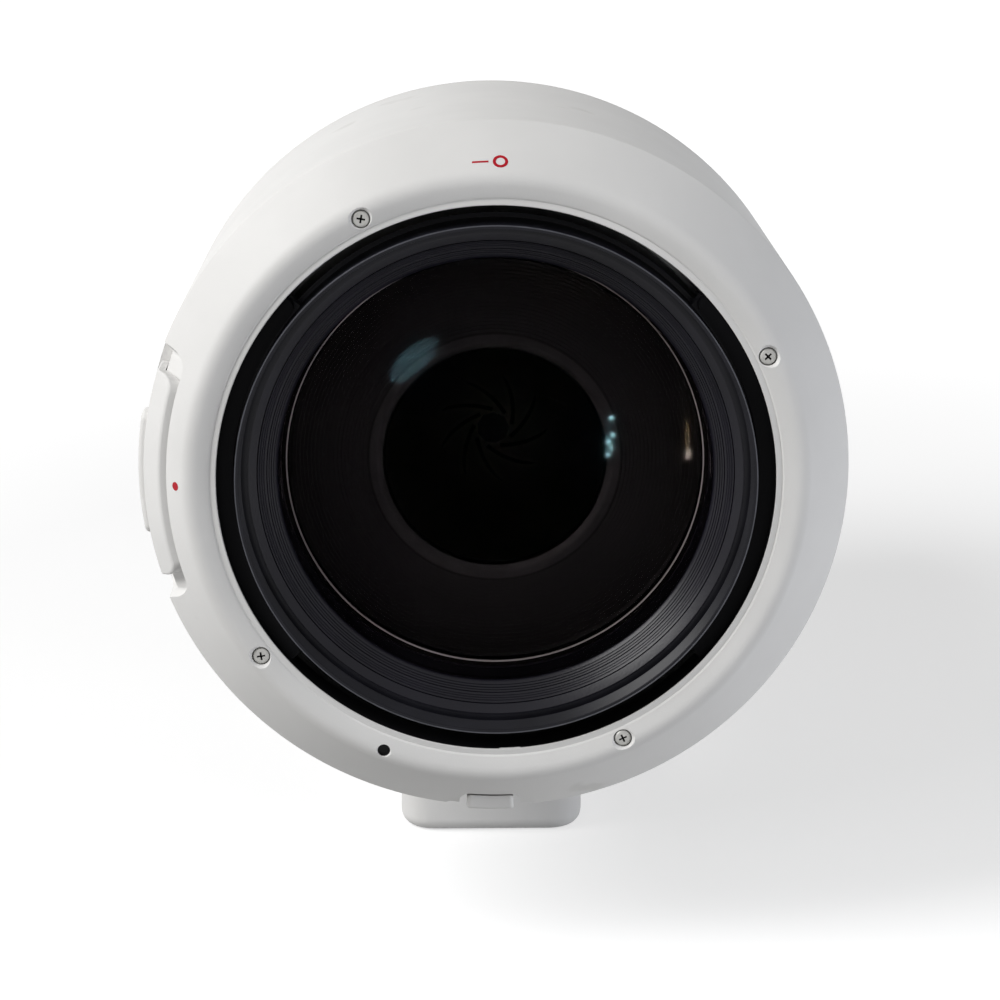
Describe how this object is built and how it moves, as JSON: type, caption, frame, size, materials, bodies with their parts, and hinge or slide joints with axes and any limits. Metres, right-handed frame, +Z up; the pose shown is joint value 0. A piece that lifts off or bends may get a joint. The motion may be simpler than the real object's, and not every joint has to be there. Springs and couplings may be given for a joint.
{
  "type": "camera zoom lens",
  "caption": "White telephoto zoom lens standing on its tripod foot, with the hood stored back to front over the barrel and a stopped-down iris behind the front glass.",
  "frame": {"origin": "centre of the camera mount throat, in the plane of the mount flange, on the optical axis", "axes": "+Y along the optical axis toward the camera, so the front of the lens faces -Y; +Z up, away from the tripod foot; +X to the right as seen from the front"},
  "size_m": [0.1085, 0.1988, 0.1323],
  "materials": {
    "white_paint": "satin warm white enamel",
    "white_plastic": "satin warm white",
    "black_plastic": "matte black",
    "black_metal": "matte black anodised",
    "grey_plastic": "satin grey",
    "alloy": "turned",
    "rubber": "matte black",
    "glass": "polished, coated",
    "mount_metal": "satin plated",
    "screw_steel": "dark",
    "brass": "bright",
    "board": "satin green"
  },
  "bodies": {
    "barrel": {"mount_plate": "mount_metal", "mount_screws": "screw_steel", "mount_gasket": "rubber", "contact_block": "black_plastic", "contact_pins": "brass", "rear_barrel": "white_paint", "switch_panel": "black_plastic", "main_sleeve": "alloy", "index_ring": "white_paint", "nose_ring": "white_paint", "guide_tube": "alloy", "core_tube": "black_plastic", "circuit_ring": "board", "focus_motor": "screw_steel", "rear_lens": "glass", "iris_base": "black_plastic"},
    "zoom_control": {"zoom_ring": "white_paint", "zoom_grip": "rubber", "cam_tube": "alloy"},
    "front_group": {"front_tube": "black_metal", "front_rollers": "brass", "front_ring": "black_metal", "front_retainer": "black_metal", "front_lens": "glass", "second_lens": "glass"},
    "variator": {"variator_carrier": "black_plastic", "variator_lens": "glass", "variator_rollers": "brass"},
    "iris_drive": {"iris_ring": "black_plastic"},
    "focus_control": {"focus_ring": "white_paint", "focus_grip": "rubber", "focus_cam": "alloy"},
    "focus_group": {"focus_cell": "black_plastic", "focus_lens": "glass", "focus_pins": "brass"},
    "stabiliser_frame": {"stabiliser_yoke": "black_plastic"},
    "stabiliser_group": {"stabiliser_cell": "black_plastic", "stabiliser_lens": "glass"},
    "collar": {"collar_ring": "white_paint", "tripod_foot": "white_paint", "foot_screws": "screw_steel"},
    "knob": {"collar_knob": "black_metal"},
    "hood": {"hood_shell": "white_plastic", "hood_liner": "black_plastic", "hood_screws": "screw_steel"},
    "slider": {"hood_slider": "white_plastic"},
    "button": {"hood_button": "white_plastic"},
    "switch_focus": {"focus_mode_switch": "grey_plastic"},
    "switch_stabiliser": {"stabiliser_switch": "grey_plastic"},
    "switch_mode": {"stabiliser_mode_switch": "grey_plastic"},
    "iris_blade_1": {"blade_1": "black_metal"},
    "iris_blade_2": {"blade_2": "black_metal"},
    "iris_blade_3": {"blade_3": "black_metal"},
    "iris_blade_4": {"blade_4": "black_metal"},
    "iris_blade_5": {"blade_5": "black_metal"},
    "iris_blade_6": {"blade_6": "black_metal"},
    "iris_blade_7": {"blade_7": "black_metal"},
    "iris_blade_8": {"blade_8": "black_metal"},
    "iris_blade_9": {"blade_9": "black_metal"}
  },
  "joints": [
    {"name": "zoom_turn", "type": "hinge", "parent": "barrel", "child": "zoom_control", "pos_m": [0, -0.139, 0], "axis": [0, -1, 0], "range_deg": [0, 78]},
    {"name": "front_slide", "type": "slide", "parent": "barrel", "child": "front_group", "axis": [0, -1, 0], "range_m": [0, 0.042]},
    {"name": "variator_slide", "type": "slide", "parent": "barrel", "child": "variator", "axis": [0, -1, 0], "range_m": [0, 0.012]},
    {"name": "focus_turn", "type": "hinge", "parent": "barrel", "child": "focus_control", "pos_m": [0, -0.093, 0], "axis": [0, -1, 0], "range_deg": [0, 100]},
    {"name": "focus_slide", "type": "slide", "parent": "barrel", "child": "focus_group", "axis": [0, -1, 0], "range_m": [0, 0.008]},
    {"name": "stabiliser_shift_x", "type": "slide", "parent": "barrel", "child": "stabiliser_frame", "axis": [1, 0, 0], "range_m": [-0.0008, 0.0008], "stiffness_N_per_m": 1200},
    {"name": "stabiliser_shift_z", "type": "slide", "parent": "stabiliser_frame", "child": "stabiliser_group", "axis": [0, 0, 1], "range_m": [-0.0008, 0.0008], "stiffness_N_per_m": 1200},
    {"name": "iris_turn", "type": "hinge", "parent": "barrel", "child": "iris_drive", "pos_m": [0, -0.157, 0], "axis": [0, 1, 0], "range_deg": [0, 3.85]},
    {"name": "collar_turn", "type": "hinge", "parent": "barrel", "child": "collar", "pos_m": [0, -0.065, 0], "axis": [0, -1, 0], "continuous": true},
    {"name": "knob_turn", "type": "hinge", "parent": "collar", "child": "knob", "pos_m": [-0.04532, -0.065, -0.02113], "axis": [-0.9063, 0, -0.4226], "range_deg": [0, 180]},
    {"name": "hood_turn", "type": "hinge", "parent": "front_group", "child": "hood", "pos_m": [0, -0.17, 0], "axis": [0, 1, 0], "range_deg": [0, 90]},
    {"name": "slider_slide", "type": "hinge", "parent": "hood", "child": "slider", "pos_m": [0, -0.181, 0], "axis": [0, -1, 0], "range_deg": [-3.2, 3.2]},
    {"name": "button_press", "type": "slide", "parent": "hood", "child": "button", "axis": [0.0175, 0, 0.9998], "range_m": [0, 0.001], "stiffness_N_per_m": 600},
    {"name": "switch_focus_slide", "type": "slide", "parent": "barrel", "child": "switch_focus", "axis": [0, 1, 0], "range_m": [0, 0.003]},
    {"name": "switch_stabiliser_slide", "type": "slide", "parent": "barrel", "child": "switch_stabiliser", "axis": [0, 1, 0], "range_m": [0, 0.003]},
    {"name": "switch_mode_slide", "type": "slide", "parent": "barrel", "child": "switch_mode", "axis": [0, 1, 0], "range_m": [0, 0.003]},
    {"name": "blade_1_swing", "type": "hinge", "parent": "barrel", "child": "iris_blade_1", "pos_m": [0.0212, -0.154, 0], "axis": [0, 1, 0], "range_deg": [0, 28.68]},
    {"name": "blade_2_swing", "type": "hinge", "parent": "barrel", "child": "iris_blade_2", "pos_m": [0.01624, -0.154, 0.01363], "axis": [0, 1, 0], "range_deg": [0, 28.68]},
    {"name": "blade_3_swing", "type": "hinge", "parent": "barrel", "child": "iris_blade_3", "pos_m": [0.00368, -0.154, 0.02088], "axis": [0, 1, 0], "range_deg": [0, 28.68]},
    {"name": "blade_4_swing", "type": "hinge", "parent": "barrel", "child": "iris_blade_4", "pos_m": [-0.0106, -0.154, 0.01836], "axis": [0, 1, 0], "range_deg": [0, 28.68]},
    {"name": "blade_5_swing", "type": "hinge", "parent": "barrel", "child": "iris_blade_5", "pos_m": [-0.01992, -0.154, 0.00725], "axis": [0, 1, 0], "range_deg": [0, 28.68]},
    {"name": "blade_6_swing", "type": "hinge", "parent": "barrel", "child": "iris_blade_6", "pos_m": [-0.01992, -0.154, -0.00725], "axis": [0, 1, 0], "range_deg": [0, 28.68]},
    {"name": "blade_7_swing", "type": "hinge", "parent": "barrel", "child": "iris_blade_7", "pos_m": [-0.0106, -0.154, -0.01836], "axis": [0, 1, 0], "range_deg": [0, 28.68]},
    {"name": "blade_8_swing", "type": "hinge", "parent": "barrel", "child": "iris_blade_8", "pos_m": [0.00368, -0.154, -0.02088], "axis": [0, 1, 0], "range_deg": [0, 28.68]},
    {"name": "blade_9_swing", "type": "hinge", "parent": "barrel", "child": "iris_blade_9", "pos_m": [0.01624, -0.154, -0.01363], "axis": [0, 1, 0], "range_deg": [0, 28.68]}
  ],
  "couplings": [
    {"joint": "front_slide", "follows": "zoom_turn", "m_per_rad": 0.030852},
    {"joint": "variator_slide", "follows": "zoom_turn", "m_per_rad": 0.0088147},
    {"joint": "focus_slide", "follows": "focus_turn", "m_per_rad": 0.0045837},
    {"joint": "blade_1_swing", "follows": "iris_turn", "ratio": 7.4297},
    {"joint": "blade_2_swing", "follows": "iris_turn", "ratio": 7.4297},
    {"joint": "blade_3_swing", "follows": "iris_turn", "ratio": 7.4297},
    {"joint": "blade_4_swing", "follows": "iris_turn", "ratio": 7.4297},
    {"joint": "blade_5_swing", "follows": "iris_turn", "ratio": 7.4297},
    {"joint": "blade_6_swing", "follows": "iris_turn", "ratio": 7.4297},
    {"joint": "blade_7_swing", "follows": "iris_turn", "ratio": 7.4297},
    {"joint": "blade_8_swing", "follows": "iris_turn", "ratio": 7.4297},
    {"joint": "blade_9_swing", "follows": "iris_turn", "ratio": 7.4297}
  ]
}
